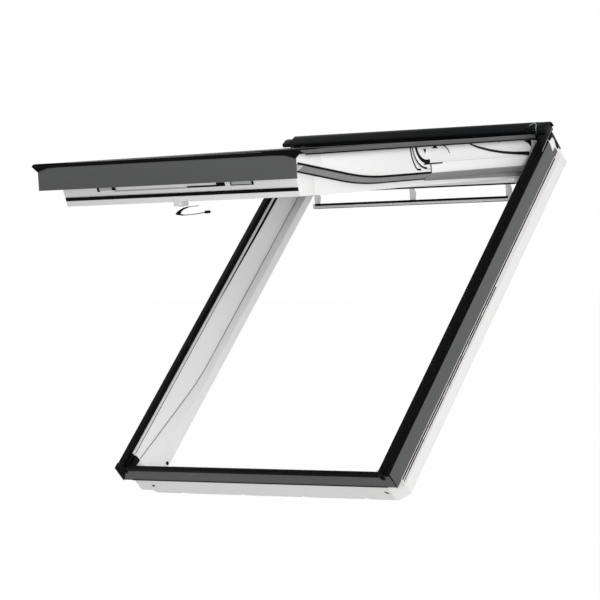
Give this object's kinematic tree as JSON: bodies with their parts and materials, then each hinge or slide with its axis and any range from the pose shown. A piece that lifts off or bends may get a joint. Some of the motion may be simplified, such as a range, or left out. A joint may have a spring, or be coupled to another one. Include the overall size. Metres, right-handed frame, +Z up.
{
  "type": "roof window",
  "caption": "Top-hung roof window on its sloping frame, opened outwards, with a cleaning pivot, ventilation flap, control bar, lever handle and hood.",
  "frame": {"origin": "middle of the underside of the bottom rail of the frame", "axes": "+X to the right seen from outside, +Y into the building, +Z up; the frame lies on a 45 degree roof pitch"},
  "size_m": [0.784, 1.1117, 0.8633],
  "materials": {
    "glass": "clear sealed glazing",
    "spacer_metal": "matt spacer profile",
    "black_rubber": "moulded weather seal",
    "hood_metal": "near-black lacquered aluminium",
    "grey_metal": "dark grey lacquered aluminium",
    "white_timber": "white lacquered timber",
    "zinc_steel": "zinc plated",
    "black_steel": "black coated steel",
    "white_steel": "white coated steel",
    "black_plastic": "moulded plastic",
    "bar_metal": "satin anodised bar",
    "white_plastic": "white moulded plastic"
  },
  "bodies": {
    "arms": {"arm_cladding_left": "grey_metal", "arm_cladding_right": "grey_metal", "arm_cover_left": "white_plastic", "arm_cover_right": "white_plastic", "arm_seal_left": "black_rubber", "arm_seal_right": "black_rubber", "hinge_arm_left": "white_steel", "hinge_arm_right": "white_steel", "hinge_link_left": "black_steel", "hinge_link_right": "black_steel"},
    "vent_flap": {"bar_brackets": "white_plastic", "control_bar": "bar_metal", "flap_housing": "white_plastic"},
    "frame": {"frame_bottom_cladding": "grey_metal", "frame_bottom_rail": "white_timber", "frame_bottom_seal": "black_rubber", "frame_corner_bumper_left": "black_rubber", "frame_corner_bumper_right": "black_rubber", "frame_jamb_left": "white_timber", "frame_jamb_right": "white_timber", "frame_side_cladding_left": "grey_metal", "frame_side_cladding_right": "grey_metal", "frame_side_rail_left": "white_plastic", "frame_side_rail_right": "white_plastic", "frame_side_seal_left": "black_rubber", "frame_side_seal_right": "black_rubber", "frame_top_cladding": "hood_metal", "frame_top_rail": "white_timber", "hinge_bracket_left": "black_steel", "hinge_bracket_right": "black_steel", "hinge_pins": "zinc_steel", "hood": "hood_metal", "hood_brackets": "hood_metal", "hood_end_left": "hood_metal", "hood_end_right": "hood_metal", "striker_plate": "zinc_steel"},
    "sash": {"glazing_seal": "black_rubber", "handle_base": "white_plastic", "inner_pane": "glass", "lock_case": "zinc_steel", "outer_pane": "glass", "pane_spacer": "spacer_metal", "pivot_rail_left": "black_steel", "pivot_rail_right": "black_steel", "sash_bottom_rail": "white_timber", "sash_corner_cap_left": "black_rubber", "sash_corner_cap_right": "black_rubber", "sash_front_cladding": "grey_metal", "sash_front_seal": "black_rubber", "sash_side_cladding_left": "grey_metal", "sash_side_cladding_right": "grey_metal", "sash_side_seal_left": "black_rubber", "sash_side_seal_right": "black_rubber", "sash_stile_left": "white_timber", "sash_stile_right": "white_timber", "sash_top_cladding": "grey_metal", "sash_top_rail": "white_timber"},
    "handle": {"handle_lever": "white_plastic", "handle_tip": "black_plastic"}
  },
  "joints": [
    {"name": "top_hinge", "type": "hinge", "parent": "frame", "child": "arms", "pos_m": [0, 0.68448, 0.75095], "axis": [-1, 0, 0], "range_deg": [-42.5, 2.5]},
    {"name": "cleaning_pivot", "type": "hinge", "parent": "arms", "child": "sash", "pos_m": [0, 0.17017, 0.79255], "axis": [-1, 0, 0], "range_deg": [0, 150]},
    {"name": "vent_flap_hinge", "type": "hinge", "parent": "sash", "child": "vent_flap", "pos_m": [0, 0.59431, 0.70707], "axis": [-1, 0, 0], "range_deg": [0, 25]},
    {"name": "handle_turn", "type": "hinge", "parent": "sash", "child": "handle", "pos_m": [-0.015, -0.28057, 0.66217], "axis": [0, -0.0436, 0.999], "range_deg": [0, 90]}
  ]
}
